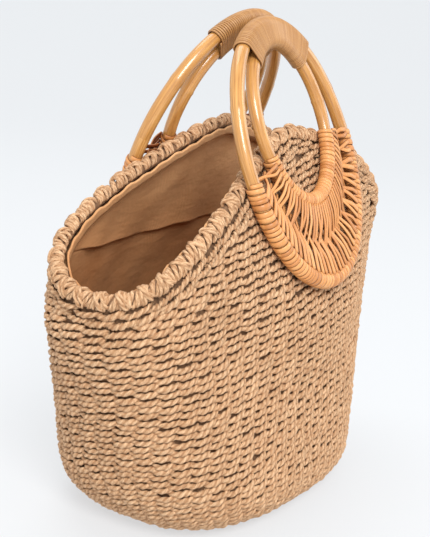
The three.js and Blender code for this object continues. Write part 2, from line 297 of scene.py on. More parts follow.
def base_surface(wall):
    """The flat underside, from its middle line out to the foot's rim."""
    columns = COLUMNS * 4
    turns = np.arange(columns) / columns
    rim = wall.at(turns, 0.0, 0.0)
    middle_half_length = np.abs(rim[:, 0]).max() - BASE_DEPTH * 0.85
    middle = rim * [1, 0.02, 1]
    middle[:, 0] = np.clip(middle[:, 0], -middle_half_length, middle_half_length)
    shares = np.linspace(0, 1, 24)[:, None, None]
    step = BASE_DEPTH / (len(shares) - 1)
    return Surface(lerp(middle, rim, shares), step, np.full(len(turns), float(BASE_DEPTH)))


def make_mesh(name, points, faces, strand=None, tone=None, groove=None):
    """A smooth mesh from points in millimetres and four-sided faces."""
    mesh = bpy.data.meshes.new(name)
    mesh.vertices.add(len(points))
    mesh.vertices.foreach_set("co", (points * MM).astype(np.float32).ravel())
    mesh.loops.add(faces.size)
    mesh.loops.foreach_set("vertex_index", faces.astype(np.int32).ravel())
    mesh.polygons.add(len(faces))
    mesh.polygons.foreach_set("loop_start", np.arange(0, faces.size, 4, dtype=np.int32))
    mesh.update(calc_edges=True)
    mesh.polygons.foreach_set("use_smooth", np.ones(len(faces), dtype=bool))
    if strand is not None:
        layer = mesh.uv_layers.new(name="strand")
        layer.data.foreach_set("uv", strand.astype(np.float32).ravel())
    for title, values in (("tone", tone), ("groove", groove)):
        if values is not None:
            layer = mesh.attributes.new(title, "FLOAT", "POINT")
            layer.data.foreach_set("value", values.astype(np.float32).ravel())
    mesh.validate()
    piece = bpy.data.objects.new(name, mesh)
    bpy.context.scene.collection.objects.link(piece)
    return piece


def sweep(centres, outs, across, over, closed=False):
    """
    Strands: rows of centres with outward directions, and a section of sideways and outward
    offsets at each, of the shape strands, rings, sides. Returns points, faces, and the run
    along the strand and round it at each corner of each face, in centimetres.
    """
    strands, rings, sides = across.shape
    if closed:
        paths = unit(np.roll(centres, -1, 1) - np.roll(centres, 1, 1))
    else:
        paths = unit(np.gradient(centres, axis=1))
    outs = unit(outs - paths * np.sum(outs * paths, axis=-1, keepdims=True))
    sideways = np.cross(outs, paths)
    points = centres[:, :, None] + sideways[:, :, None] * across[..., None]
    points = points + outs[:, :, None] * over[..., None]
    index = np.arange(strands * rings * sides).reshape(strands, rings, sides)
    after = np.roll(index, -1, 1) if closed else index[:, 1:]
    here = index if closed else index[:, :-1]
    corners = [here, after, np.roll(after, -1, 2), np.roll(here, -1, 2)]
    faces = np.stack(corners, -1).reshape(-1, 4)
    steps = np.linalg.norm(np.diff(centres, axis=1), axis=-1)
    run = np.concatenate([np.zeros((strands, 1)), np.cumsum(steps, axis=1)], axis=1)
    if closed:
        last = run[:, -1:] + np.linalg.norm(centres[:, :1] - centres[:, -1:], axis=-1)
        run = np.concatenate([run, last], axis=1)
    centimetre = 10
    girth = 1.6
    start = run[:, :-1, None] / centimetre + np.zeros((1, 1, sides))
    stop = run[:, 1:, None] / centimetre + np.zeros((1, 1, sides))
    near = np.arange(sides) / sides + np.zeros_like(start)
    corner_runs = np.stack([start, stop, stop, start], -1)
    corner_turns = np.stack([near, near, near + 1 / sides, near + 1 / sides], -1) * girth
    strand = np.stack([corner_runs, corner_turns], -1).reshape(-1, 4, 2)
    if not closed:
        caps = []
        for ring, order in ((0, 1), (rings - 1, -1)):
            for side in range(sides // 2 - 1):
                quad = [side, side + 1, sides - 2 - side, sides - 1 - side]
                caps.append(index[:, ring][:, quad[::order]])
        caps = np.concatenate(caps)
        faces = np.concatenate([faces, caps])
        strand = np.concatenate([strand, np.zeros((len(caps), 4, 2))])
    return points.reshape(-1, 3), faces, strand


def two_ply(phases, half_heights, half_depths):
    """The section of a twisted cord of two plies, whose grooves turn with the phase."""
    corner = np.arange(CORD_SIDES) / CORD_SIDES * 2 * math.pi
    groove = np.sin(corner) ** 2 * np.ones_like(phases)[..., None]
    lobe = 1 - PLY_GROOVE * groove
    angle = phases[..., None] + corner
    across = half_heights[..., None] * lobe * np.cos(angle)
    over = half_depths[..., None] * lobe * np.sin(angle)
    return across, over, groove


def stitch_cords(surface, turns, heights, columns, crest, along_rim=False):
    """
    One cord over one warp at each turn and height: fat in the middle, rising along its
    length, its ends diving in. Along the rim, a height is a depth below the wall's top.
    """
    count = len(turns)
    share = np.linspace(-1, 1, STITCH_RINGS)[None, :]

    def vary(spread):
        return random.normal(0, spread, (count, 1))

    reach = STITCH_REACH / columns * (1 + vary(0.05))
    line_turns = turns[:, None] + vary(0.05) / columns + share * reach
    slant = STITCH_SLANT * (1 + vary(0.22)) * np.sin(share * math.pi * 0.55)
    sag = STITCH_SAG * (share**2 - 0.4) * (1 + vary(0.4))
    level = surface.top(line_turns) - heights[:, None] if along_rim else heights[:, None]
    line_heights = level + slant + sag + vary(0.3)
    raised = lerp(BASE_CREST, crest, smoothstep(level, 0, CREST_RISE))
    dive = STITCH_DIVE * np.abs(share) ** 2.3
    depth = CORD_HALF_DEPTH - raised + dive - np.clip(vary(0.2), -0.5, 0.2)
    centres = surface.at(line_turns, np.maximum(line_heights, 0.2), -depth)
    outs = surface.normal(line_turns, line_heights)
    taper = 1 - 0.34 * share**2
    half_heights = CORD_HALF_HEIGHT * (1 + np.clip(vary(0.08), -0.2, 0.2)) * taper
    half_depths = CORD_HALF_DEPTH * (1 + np.clip(vary(0.05), -0.1, 0.08)) * taper
    lengths = np.linalg.norm(centres[:, -1] - centres[:, 0], axis=-1)[:, None]
    phases = random.uniform(0, math.pi, (count, 1)) - share * lengths / PLY_LAY * math.pi
    across, over, groove = two_ply(phases, half_heights, half_depths)
    points, faces, strand = sweep(centres, outs, across, over)
    tone = random.uniform(0, 1, (count, 1, 1)) * np.ones_like(across)
    return points, faces, strand, tone, groove


def weave_cells(wall):
    """The turn and height of each stitch of the wall's level rows, up to the rim's own rows."""
    most_rows = 80
    drift = np.cumsum(random.normal(0, 0.12, most_rows))
    turns = []
    heights = []
    for column in range(COLUMNS):
        turn = (column + 0.5) / COLUMNS
        rows = int((wall.top(turn) - ROW_PITCH * 0.6) / ROW_PITCH)
        for row in range(rows):
            turns.append(turn + drift[row] / COLUMNS)
            heights.append((row + 0.5) * ROW_PITCH)
    turns = np.array(turns)
    heights = np.array(heights)
    swell = 0.9 * np.sin(turns * 2 * math.pi * 6 + heights * 0.03)
    ripple = 0.5 * np.sin(turns * 2 * math.pi * 15 + 2)
    return turns, heights + (swell + ripple)


def rim_cells():
    """The turn, and the depth below the wall's top, of each stitch of the rows along the rim."""
    rows = np.arange(RIM_ROWS)
    columns = np.arange(COLUMNS)
    turns = (columns[None, :] + 0.5 * (rows[:, None] % 2)) / COLUMNS
    depths = (rows[:, None] - 0.1) * ROW_PITCH * np.ones((1, COLUMNS))
    return turns.ravel(), depths.ravel()


def straw_weave(wall, base, material):
    """The twined rows: four pieces round the wall, one along the rim and one underneath."""
    turns, heights = weave_cells(wall)
    quarters = {"far": 0.0, "back": 0.25, "near": 0.5, "front": 0.75}
    pieces = []
    for title, middle in quarters.items():
        apart = np.abs(np.mod(turns - middle + 0.5, 1) - 0.5)
        chosen = apart < 1 / (2 * len(quarters))
        made = stitch_cords(wall, turns[chosen], heights[chosen], COLUMNS, STITCH_CREST)
        pieces.append(cord_piece(f"straw_weave_{title}", made, material))
    made = stitch_cords(wall, *rim_cells(), COLUMNS, 2 * STITCH_CREST, along_rim=True)
    pieces.append(cord_piece("straw_weave_rim", made, material))
    rows = int(BASE_DEPTH / ROW_PITCH)
    base_turns = (np.arange(BASE_COLUMNS) + 0.5) / BASE_COLUMNS
    base_heights = (np.arange(rows) + 0.5) / rows * BASE_DEPTH
    turns, heights = [line.ravel() for line in np.meshgrid(base_turns, base_heights)]
    made = stitch_cords(base, turns, heights, BASE_COLUMNS, BASE_CREST)
    pieces.append(cord_piece("straw_weave_under", made, material))
    return pieces


def cord_piece(name, made, material):
    points, faces, strand, tone, groove = made
    piece = make_mesh(name, points, faces, strand, tone, groove)
    piece.data.materials.append(material)
    return piece


def shell_faces(outside, inside):
    """A shell between two grids of rows that go round the bag, joined at their last rows."""
    rows, columns = outside.shape[:2]
    grid = np.concatenate([outside, inside[::-1]])
    index = np.arange(2 * rows * columns).reshape(2 * rows, columns)
    here = index[:-1]
    after = index[1:]
    faces = np.stack([here, np.roll(here, -1, 1), np.roll(after, -1, 1), after], -1).reshape(-1, 4)
    return grid.reshape(-1, 3), faces


def straw_backing(wall, base, material):
    """The warps and the back of the weave: a ribbed shell behind the stitches, painted dark as shade.
    """
    columns = COLUMNS * 4
    turns = np.arange(columns) / columns
    ribs = 0.45 * np.cos(turns * COLUMNS * 2 * math.pi + math.pi)
    outer_depth = -3.9 + ribs
    base_shares = np.linspace(0.03, 0.9, 5)
    wall_shares = np.linspace(0, 1, 40)
    grids = []
    for depth in (outer_depth, np.full(columns, -STRAW_WALL + 0.1)):
        rows = [base.at(turns, BASE_DEPTH * share, depth) for share in base_shares]
        rows += [wall.at(turns, wall.top(turns) * share, depth) for share in wall_shares]
        rows += [wall.at(turns, wall.top(turns) + rise, depth) for rise in (3, 6)]
        grids.append(np.array(rows))
    points, faces = shell_faces(*grids)
    piece = make_mesh("straw_backing", points, faces)
    piece.data.materials.append(material)
    return piece


def border_frames(wall, turns):
    """The border's middle line and its outward and upward directions."""
    step = 0.002
    tops = wall.top(turns)
    rim = wall.at(turns, tops, 0.0)
    outs = wall.normal(turns, tops)
    ahead = wall.at(turns + step, wall.top(turns + step), 0.0)
    behind = wall.at(turns - step, wall.top(turns - step), 0.0)
    paths = unit(ahead - behind)
    outs = unit(outs - paths * np.sum(outs * paths, axis=-1, keepdims=True))
    ups = np.cross(outs, paths)
    middles = rim - outs * BORDER_WIDTH / 2 + ups * (BORDER_HEIGHT / 2 + BORDER_SEAT)
    return middles, outs, ups


def border_cords():
    """
    The cords of one group of the border: where each starts along the group, how far it leans
    along the mouth, its swing round the border in degrees from first to last, its lift off
    the border and its half width.
    """
    risers = 6
    cords = []
    for member in range(risers):
        cords.append({
            "start": member * 2.4,
            "lean": 11.5 - member * 0.7,
            "swing": (-38, 158),
            "lift": 0.35 * (member % 2),
            "half": 1.55,
        })
    cords.append({"start": 12.6, "lean": -6.5, "swing": (-28, 112), "lift": 1.0, "half": 1.4})
    cords.append({"start": 14.8, "lean": -5.5, "swing": (-20, 96), "lift": 0.7, "half": 1.3})
    return cords


def border_loops(wall, material):
    """
    The folded ends of the warps. In each group some cords rise from the wall, lean along the
    mouth and fold over to the inside, and two cross them the other way.
    """
    samples = np.linspace(0, 1, 1441)
    rim = wall.at(samples, wall.top(samples), 0.0)
    run = np.append(0, np.cumsum(np.linalg.norm(np.diff(rim, axis=0), axis=1)))
    groups = round(run[-1] / BORDER_LOOP_PITCH)
    pitch = run[-1] / groups
    rings = 19
    share = np.linspace(0, 1, rings)[None, :]
    cords = border_cords() * groups
    count = len(cords)
    group = np.repeat(np.arange(groups), count // groups)[:, None]

    def vary(spread):
        return random.normal(0, spread, (count, 1))

    def column(title):
        return np.array([cord[title] for cord in cords], dtype=float)[:, None]

    start = group * pitch + column("start") + vary(0.6)
    place = start + (column("lean") + vary(1.3)) * share**0.85
    turns = np.interp(np.mod(place, run[-1]), run, samples)
    middles, outs, ups = border_frames(wall, turns)
    first, last = np.radians(np.array([cord["swing"] for cord in cords], dtype=float)).T
    swing = lerp(first[:, None], last[:, None], share) + vary(0.06)
    scallop = 0.9 * np.cos((place / pitch - 0.62) * 2 * math.pi) * np.clip(np.sin(swing), 0, 1)
    below = np.clip(-swing / np.radians(45), 0, 1) ** 1.5 * 3.2
    tuck = 2.4 * (np.clip(1 - share / 0.14, 0, 1) + np.clip((share - 0.88) / 0.12, 0, 1))
    radius = 4.2 + scallop + below - tuck + column("lift") + np.clip(vary(0.3), -0.6, 0.5)
    radial = outs * np.cos(swing)[..., None] + ups * np.sin(swing)[..., None]
    centres = middles + radial * radius[..., None]
    taper = 1 - 0.25 * (2 * share - 1) ** 2
    half_heights = column("half") * (1 + vary(0.1)) * taper
    half_depths = 1.4 * (1 + vary(0.06)) * taper
    lengths = np.linalg.norm(np.diff(centres, axis=1), axis=-1).sum(axis=1)[:, None]
    phases = random.uniform(0, math.pi, (count, 1)) - share * lengths / PLY_LAY * math.pi * 1.15
    across, over, groove = two_ply(phases, half_heights, half_depths)
    points, faces, strand = sweep(centres, radial, across, over)
    tone = random.uniform(0, 1, (count, 1, 1)) * np.ones_like(across)
    return cord_piece("border_loops", (points, faces, strand, tone, groove), material)


def border_core(wall, material):
    """The middle of the border, a tube painted dark as shade, which shows only between its cords."""
    steps = 240
    sides = 8
    turns = np.arange(steps) / steps
    half_height = 3.6
    half_depth = 3.2
    middles, outs, _ = border_frames(wall, turns)
    angle = np.arange(sides) / sides * 2 * math.pi
    across = half_height * np.cos(angle) * np.ones((1, steps, 1))
    over = half_depth * np.sin(angle) * np.ones((1, steps, 1))
    points, faces, strand = sweep(middles[None], outs[None], across, over, closed=True)
    piece = make_mesh("border_core", points, faces, strand)
    piece.data.materials.append(material)
    return piece


def lining_cloth(wall, base, material):
    """The lining: a bag of cloth, a facing band above the fold, and its edge sewn to the border."""
    columns = 240
    turns = np.arange(columns) / columns
    tops = wall.top(turns)
    fold = np.zeros(columns)
    samples = 160
    for column, turn in enumerate(turns):
        heights = np.linspace(0, tops[column], samples)
        level = wall.at(np.full(samples, turn), heights, 0.0)[:, 2]
        target = min(FOLD_HEIGHT, level[-1] - 2 * FOLD_DEPTH)
        fold[column] = np.interp(target, level, heights)
    fold += 1.0 * np.sin(turns * 2 * math.pi * 5 + 1) + 0.6 * np.sin(turns * 2 * math.pi * 13)
    face = STRAW_WALL + CLEARANCE

    def creases(heights):
        slow = np.sin(turns * 2 * math.pi * 9 + heights * 0.035)
        slow = slow * np.sin(heights * 0.045 + 2 * turns * math.pi * 3)
        quick = np.sin(turns * 2 * math.pi * 23 - heights * 0.06 + 1.3 * np.sin(heights * 0.05))
        corner = np.exp(-(((turns - 0.527) * 75) ** 2)) + 0.7 * np.exp(-(((turns - 0.475) * 60) ** 2))
        return 0.9 + 0.9 * slow + 0.3 * quick + 3.4 * corner * smoothstep(heights, 20, 120)

    inside = []
    outside = []
    for share in np.linspace(0.03, 0.9, 6):
        outside.append(base.at(turns, BASE_DEPTH * share, -face))
        inside.append(base.at(turns, BASE_DEPTH * share, -face - LINING_THICKNESS))
    for share in np.append(np.linspace(0, 0.94, 44), np.linspace(0.95, 0.996, 10)):
        heights = fold * share
        waves = creases(heights) * smoothstep(heights, 5, 40)
        outside.append(wall.at(turns, heights, -face))
        inside.append(wall.at(turns, heights, -face - LINING_THICKNESS - waves))
    hang = 2.2 + 0.9 * np.sin(turns * 2 * math.pi * 8 + 2) + 0.4 * np.sin(turns * 2 * math.pi * 19)
    for share in np.append(np.linspace(0, 0.06, 5), np.linspace(0.1, 1, 22)):
        heights = lerp(fold, tops, share)
        above = heights - fold
        rolled = np.sqrt(np.clip(above / 1.2, 0.02, 1)) * hang * np.exp(-above / 9)
        waves = creases(heights) * (1 - smoothstep(heights, tops - 30, tops))
        outside.append(wall.at(turns, heights, -face))
        inside.append(wall.at(turns, heights, -face - FACING_THICKNESS - waves - rolled))
    middles, outs, ups = border_frames(wall, turns)
    scallop = 0.9 * np.cos(turns * 2 * math.pi * 61) + 0.6 * np.sin(turns * 2 * math.pi * 23)
    for share in np.linspace(0.25, 1, 5):
        up = lerp(-BORDER_HEIGHT / 2, 1.6 + scallop, share)[:, None]
        inside.append(middles + ups * up - outs * (BORDER_WIDTH / 2 + 0.2))
        outside.append(middles + ups * up - outs * (BORDER_WIDTH / 2 - 0.9))
    points, faces = shell_faces(np.array(outside), np.array(inside))
    piece = make_mesh("lining_cloth", points, faces)
    piece.data.materials.append(material)
    return piece


def outer_ring(turn):
    x = OUTER_HALF_WIDTH * np.cos(turn)
    y = OUTER_HALF_HEIGHT * np.sin(turn)
    return np.stack([x, y, np.zeros_like(x)], -1)


def inner_ring(turn):
    x = INNER_HALF_WIDTH * np.cos(turn)
    y = INNER_RISE + INNER_HALF_HEIGHT * np.sin(turn)
    return np.stack([x, y, np.zeros_like(x)], -1)


def ring_outward(ring, turn):
    """The direction away from the ring's middle, square to its line, in its own plane."""
    path = unit(ring(turn + 0.01) - ring(turn - 0.01))
    return np.stack([path[..., 1], -path[..., 0], np.zeros_like(turn)], -1)


def to_bag(points, place):
    """From a handle's own plane, X right, Y up and Z outward, to the bag's frame."""
    x, y, z = points[..., 0], points[..., 1], points[..., 2]
    lean, upright = math.sin(place["tilt"]), math.cos(place["tilt"])
    depth = handle_depth(place) - y * lean + z * upright
    height = place["height"] + y * upright + z * lean
    return np.stack([place["shift"] - place["side"] * x, place["side"] * depth, height], -1)


def cane_piece(name, ring, radius, place, material, knots):
    """A whole ring of cane, a little uneven, with a swelling at each of its knots."""
    steps = 220
    sides = 20
    turns = np.arange(steps) / steps * 2 * math.pi
    angle = np.arange(sides) / sides * 2 * math.pi
    swell = 0.12 * np.sin(turns * 3 + knots[0]) + 0.06 * np.sin(turns * 11)
    for knot in knots:
        apart = (turns - knot + math.pi) % (2 * math.pi) - math.pi
        swell = swell + 0.32 * np.exp(-((apart / 0.022) ** 2))
    radii = (radius - 0.2 + swell)[None, :, None]
    zeros = np.zeros(steps)
    outward = np.stack([zeros, zeros, np.ones(steps)], -1)
    points, faces, strand = sweep(
        ring(turns)[None], outward[None], radii * np.cos(angle), radii * np.sin(angle), closed=True
    )
    piece = make_mesh(name, to_bag(points, place), faces, strand)
    piece.data.materials.append(material)
    return piece


def flat_section(widths, thickness):
    """A strip's crowned section, flat underneath."""
    across = np.array([-1, -0.8, 0, 0.8, 1, 0])
    over = np.array([0, 0.72, 1, 0.72, 0, -0.05])
    return widths[..., None] / 2 * across, thickness * over * np.ones_like(widths)[..., None]


def winding_turns(half_height, rise, tops, place):
    """The turns of a ring where its winding starts on the left and ends on the right."""
    left = math.asin((rise - tops[place["left"]]) / half_height)
    right = math.asin((rise - tops[place["right"]]) / half_height)
    return math.pi + left, 2 * math.pi - right


def coil(ring, radius, turns, pitch, thickness):
    """A strip wound round one cane, with a few wraps wider than the rest."""
    start, end = turns
    samples = np.linspace(start, end, 400)
    run = np.append(0, np.cumsum(np.linalg.norm(np.diff(ring(samples), axis=0), axis=1)))
    wraps = int(run[-1] / pitch)
    edges = np.append(0, np.cumsum(random.uniform(0.7, 1.3, wraps)))
    edges = edges / edges[-1] * run[-1]
    per_wrap = 22
    wrap = np.arange(wraps * per_wrap + 1) / per_wrap
    place = np.interp(wrap, np.arange(wraps + 1), edges)
    widths = np.interp(wrap, np.arange(wraps) + 0.5, np.diff(edges))
    turn = np.interp(place, run, samples)
    swing = wrap * 2 * math.pi
    outward = ring_outward(ring, turn)
    radial = outward * np.cos(swing)[:, None] + np.array([0, 0, 1.0]) * np.sin(swing)[:, None]
    centres = ring(turn) + radial * radius
    across, over = flat_section(widths[None] * 0.99, thickness)
    tones = np.repeat(random.uniform(0, 1, wraps + 1), per_wrap)[: len(wrap)]
    return centres, radial, across, over, tones


def crescent_strips(place, side):
    """
    The strips across the crescent: each leaves the front of its own cane, leans along the
    rings, and dives behind the strips of the other cane past the middle.
    """
    strips = 40
    rings = 17
    outer_turns = winding_turns(OUTER_HALF_HEIGHT, 0, OUTER_WINDING_TOPS, place)
    inner_turns = winding_turns(INNER_HALF_HEIGHT, INNER_RISE, INNER_WINDING_TOPS, place)
    from_outer = side == "outer"
    reach = 0.7 if from_outer else 0.74
    lean = 1.5 if from_outer else -1.8
    index = np.arange(strips)[:, None]
    share = np.linspace(0, reach, rings)[None, :]
    across_share = share if from_outer else 1 - share
    bend = 0.3 * smoothstep(share, 0.2, 0.5) * (-1) ** index
    sway = random.normal(0, 0.22, (strips, 1)) * smoothstep(share, 0.15, 0.6)
    start = index + (0.75 if from_outer else 0.25) + random.normal(0, 0.06, (strips, 1))
    place_share = (start + lean * (0.5 - across_share) + bend + sway) / strips
    outer_turn = lerp(*outer_turns, np.clip(place_share, 0.004, 0.996))
    inner_turn = lerp(*inner_turns, np.clip(place_share, 0.004, 0.996))
    leave = math.radians(50)
    outer_edge = OUTER_WRAP - 0.6
    inner_edge = INNER_WRAP - 0.6
    from_outer_ring = ring_outward(outer_ring, outer_turn) * math.cos(leave) * outer_edge
    from_inner_ring = ring_outward(inner_ring, inner_turn) * math.cos(leave) * inner_edge
    outer_end = outer_ring(outer_turn) - from_outer_ring
    inner_end = inner_ring(inner_turn) + from_inner_ring
    edge = (outer_edge if from_outer else inner_edge) * math.sin(leave)
    depth = lerp(edge, -0.35 * edge, smoothstep(share, 0.18, reach))
    depth = depth + random.normal(0, 0.25, (strips, 1)) * smoothstep(share, 0.1, 0.4)
    front = np.array([0, 0, 1.0])
    centres = lerp(outer_end, inner_end, across_share[..., None]) + front * depth[..., None]
    outs = front * np.ones((strips, rings, 1))
    narrow = lerp(3.7, 2.3, share / reach) if from_outer else lerp(2.5, 2.2, share / reach)
    widths = narrow * (1 + random.normal(0, 0.08, (strips, 1)))
    across, over = flat_section(widths, 1.2)
    tones = random.uniform(0, 1, (strips, 1)) * np.ones((1, rings))
    return centres, outs, across, over, tones


def binding_coil():
    """A narrow strip wound round both canes at the top."""
    wraps = 54
    per_wrap = 30
    wrap = np.arange(wraps * per_wrap + 1) / per_wrap
    share = lerp(1, -1, wrap / wraps)
    outer_turn = math.pi / 2 + share * OUTER_BINDING_SPAN
    inner_turn = math.pi / 2 + share * INNER_BINDING_SPAN
    outer = outer_ring(outer_turn)
    inner = inner_ring(inner_turn)
    outward = unit(outer - inner)
    front = np.array([0, 0, 1.0])
    phase = np.mod(wrap, 1)
    corners = np.array([0, 0.29, 0.5, 0.79, 1.0])
    swing = np.interp(phase, corners, np.radians([-90, 90, 90, 270, 270]))
    on_inner = np.interp(phase, corners, [0, 0, 1, 1, 0])
    sheath = 0.35
    radius = lerp(OUTER_CANE / 2, INNER_CANE / 2, on_inner) + sheath
    radial = outward * np.cos(swing)[:, None] + front * np.sin(swing)[:, None]
    centres = lerp(outer, inner, on_inner[:, None]) + radial * radius[:, None]
    run = np.linalg.norm(np.diff(outer, axis=0), axis=1).sum()
    widths = np.full((1, len(wrap)), 0.9 * run / wraps)
    across, over = flat_section(widths, BINDING_THICKNESS - sheath)
    tones = np.repeat(random.uniform(0, 1, wraps + 1), per_wrap)[: len(wrap)]
    return centres, radial, across, over, tones


def strip_piece(name, runs, place, material):
    """One piece from several strips in a handle's own plane."""
    points, faces, strands, tones, grooves = [], [], [], [], []
    count = 0
    for centres, outs, across, over, tone in runs:
        if centres.ndim == 2:
            centres, outs, tone = centres[None], outs[None], tone[None]
        made, quads, strand = sweep(centres, outs, across, over)
        grooves.append((EDGE_SHADE * np.ones_like(across)).ravel())
        points.append(to_bag(made, place))
        faces.append(quads + count)
        strands.append(strand)
        tones.append((tone[..., None] * np.ones_like(across)).ravel())
        count += len(made)
    parts = (points, faces, strands, tones, grooves)
    piece = make_mesh(name, *[np.concatenate(part) for part in parts])
    piece.data.materials.append(material)
    return piece


def node_tree(name):
    material = bpy.data.materials.new(name)
    material.use_nodes = True
    tree = material.node_tree
    return material, tree, tree.nodes["Principled BSDF"]


def set_inputs(node, values):
    for title, value in values.items():
        node.inputs[title].default_value = value


def add(tree, kind, settings=(), **inputs):
    """A shader node with some of its inputs set or linked, by title or as i and a number."""
    node = tree.nodes.new(kind)
    for title, value in dict(settings).items():
        setattr(node, title, value)
    for title, value in inputs.items():
        numbered = title[0] == "i" and title[1:].isdigit()
        socket = node.inputs[int(title[1:]) if numbered else title]
        if isinstance(value, bpy.types.NodeSocket):
            tree.links.new(value, socket)
        else:
            socket.default_value = value
    return node


def noise(tree, vector, scale, detail=3.0, roughness=0.6):
    node = add(tree, "ShaderNodeTexNoise", Scale=scale, Detail=detail, Roughness=roughness)
    tree.links.new(vector, node.inputs["Vector"])
    return node.outputs["Fac"]


def stretched(tree, source, scale):
    node = add(tree, "ShaderNodeMapping", Vector=source, Scale=scale)
    return node.outputs["Vector"]


def ramp(tree, value, stops):
    node = add(tree, "ShaderNodeValToRGB", Fac=value)
    elements = node.color_ramp.elements
    while len(elements) < len(stops):
        elements.new(0.5)
    for element, (place, colour) in zip(elements, stops):
        element.position = place
        element.color = (*colour, 1)
    return node.outputs["Color"]


def blend(tree, mode, share, first, second):
    settings = {"data_type": "RGBA", "blend_type": mode}
    node = add(tree, "ShaderNodeMix", settings, i0=share, i6=first, i7=second)
    return node.outputs[2]


def scaled(tree, value, factor, offset):
    """The value times the factor, plus the offset."""
    node = add(tree, "ShaderNodeMath", {"operation": "MULTIPLY_ADD"}, i0=value, i1=factor, i2=offset)
    return node.outputs[0]


def mapped(tree, value, limits):
    """A value mapped from one range to another, each from 0 to 1 where the limits don't say."""
    node = add(tree, "ShaderNodeMapRange", Value=value)
    set_inputs(node, limits)
    return node.outputs["Result"]


def bump(tree, height, strength, distance, **base):
    node = add(tree, "ShaderNodeBump", Height=height, Strength=strength, Distance=distance, **base)
    return node.outputs["Normal"]


def attribute(tree, name):
    return add(tree, "ShaderNodeAttribute", {"attribute_name": name}).outputs["Fac"]


def own_place(tree, strand, tone):
    """The place along and round a strand, moved by its tone so that no two look alike."""
    apart = add(tree, "ShaderNodeVectorMath", {"operation": "SCALE"}, i0=(31.0, 17.0, 0.0), Scale=tone)
    moved = add(tree, "ShaderNodeVectorMath", {"operation": "ADD"}, i0=strand, i1=apart.outputs[0])
    return moved.outputs[0]


def straw_material(name, dark, middle, light):
    """Twisted paper cord: fibres and creases along each ply, painted shade along the creases and in the
    grooves between the plies, a tone for each cord.
    """
    material, tree, shader = node_tree(name)
    coordinates = add(tree, "ShaderNodeTexCoord")
    own_tone = attribute(tree, "tone")
    strand = own_place(tree, coordinates.outputs["UV"], own_tone)
    place = coordinates.outputs["Object"]
    fibres = noise(tree, stretched(tree, strand, (1.6, 14, 1)), 1.0, 4.0, 0.65)
    crumple = noise(tree, stretched(tree, strand, (2.6, 5.5, 1)), 1.0, 3.0, 0.6)
    patches = noise(tree, place, 22.0, 2.0)
    mixed = scaled(tree, fibres, 0.6, scaled(tree, own_tone, 0.2, 0.15))
    base = ramp(tree, mixed, [(0.2, dark), (0.5, middle), (0.78, light)])
    wear = ramp(tree, patches, [(0.3, (0.78, 0.74, 0.7)), (0.65, WHITE)])
    worn = blend(tree, "MULTIPLY", 0.35, base, wear)
    # Painted shade: dark lines along the crumpled paper's creases
    painted_crease_shade_stops = [(0.42, WHITE), (0.47, (0.5, 0.38, 0.3)), (0.5, (0.62, 0.5, 0.42)), (0.55, WHITE)]
    creased = blend(tree, "MULTIPLY", 0.7, worn, ramp(tree, crumple, painted_crease_shade_stops))
    # Painted shade: the cord's colour darkens in the grooves between its two plies
    painted_groove_shade = ramp(tree, attribute(tree, "groove"), [(0.35, WHITE), (1.0, (0.66, 0.54, 0.45))])
    colour = blend(tree, "MULTIPLY", 1.0, creased, painted_groove_shade)
    tree.links.new(colour, shader.inputs["Base Color"])
    coarse = bump(tree, crumple, 0.8, 0.0016)
    tree.links.new(bump(tree, fibres, 0.5, 0.0006, Normal=coarse), shader.inputs["Normal"])
    rough = mapped(tree, fibres, {"To Min": 0.6, "To Max": 0.85})
    tree.links.new(rough, shader.inputs["Roughness"])
    set_inputs(shader, {"Specular IOR Level": 0.35})
    return material


def backing_material():
    """The cords behind the stitches, painted dark as shade."""
    material, tree, shader = node_tree("straw_painted_shade")
    place = add(tree, "ShaderNodeTexCoord").outputs["Object"]
    mottle = noise(tree, place, 300.0, 3.0)
    # Painted shade: a very dark brown for the cords that lie in shade behind the stitches
    colour = ramp(tree, mottle, [(0.3, (0.12, 0.06, 0.03)), (0.7, (0.3, 0.165, 0.085))])
    tree.links.new(colour, shader.inputs["Base Color"])
    tree.links.new(bump(tree, mottle, 0.5, 0.0005), shader.inputs["Normal"])
    set_inputs(shader, {"Roughness": 0.9})
    return material


def lining_material():
    """Plain brown cotton: a fine weave, soft creases, uneven dye, and painted shade darkening it
    towards its floor.
    """
    material, tree, shader = node_tree("brown_cotton")
    place = add(tree, "ShaderNodeTexCoord").outputs["Object"]
    dye = noise(tree, place, 14.0, 4.0, 0.55)
    dyes = [(0.3, (0.82, 0.43, 0.19)), (0.55, (0.92, 0.52, 0.25)), (0.75, (0.96, 0.58, 0.3))]
    colour = ramp(tree, dye, dyes)
    yarns = []
    for direction, scale in (("Z", 520.0), ("DIAGONAL", 420.0)):
        settings = {"bands_direction": direction}
        wave = add(tree, "ShaderNodeTexWave", settings, Vector=place, Scale=scale, Distortion=1.5)
        yarns.append(wave.outputs["Fac"])
    threads = add(tree, "ShaderNodeMath", {"operation": "MULTIPLY"}, i0=yarns[0], i1=yarns[1])
    # Painted shade: the cloth darkens towards the bag's floor, for the shade deep inside the bag
    height = add(tree, "ShaderNodeSeparateXYZ", Vector=place).outputs["Z"]
    raised = mapped(tree, height, {"From Min": 0.05, "From Max": 0.22})
    depths = [(0.0, (0.22, 0.15, 0.11)), (0.65, (0.72, 0.6, 0.52)), (1.0, WHITE)]
    colour = blend(tree, "MULTIPLY", 1.0, colour, ramp(tree, raised, depths))
    threaded = blend(tree, "MULTIPLY", 0.25, colour, threads.outputs[0])
    tree.links.new(threaded, shader.inputs["Base Color"])
    creases = noise(tree, stretched(tree, place, (1, 1, 2.2)), 34.0, 3.0)
    soft = bump(tree, creases, 0.35, 0.004)
    tree.links.new(bump(tree, threads.outputs[0], 0.3, 0.0003, Normal=soft), shader.inputs["Normal"])
    set_inputs(shader, {
        "Roughness": 0.85,
        "Sheen Weight": 0.08,
        "Sheen Tint": (0.9, 0.55, 0.28, 1),
        "Specular IOR Level": 0.2,
    })
    return material


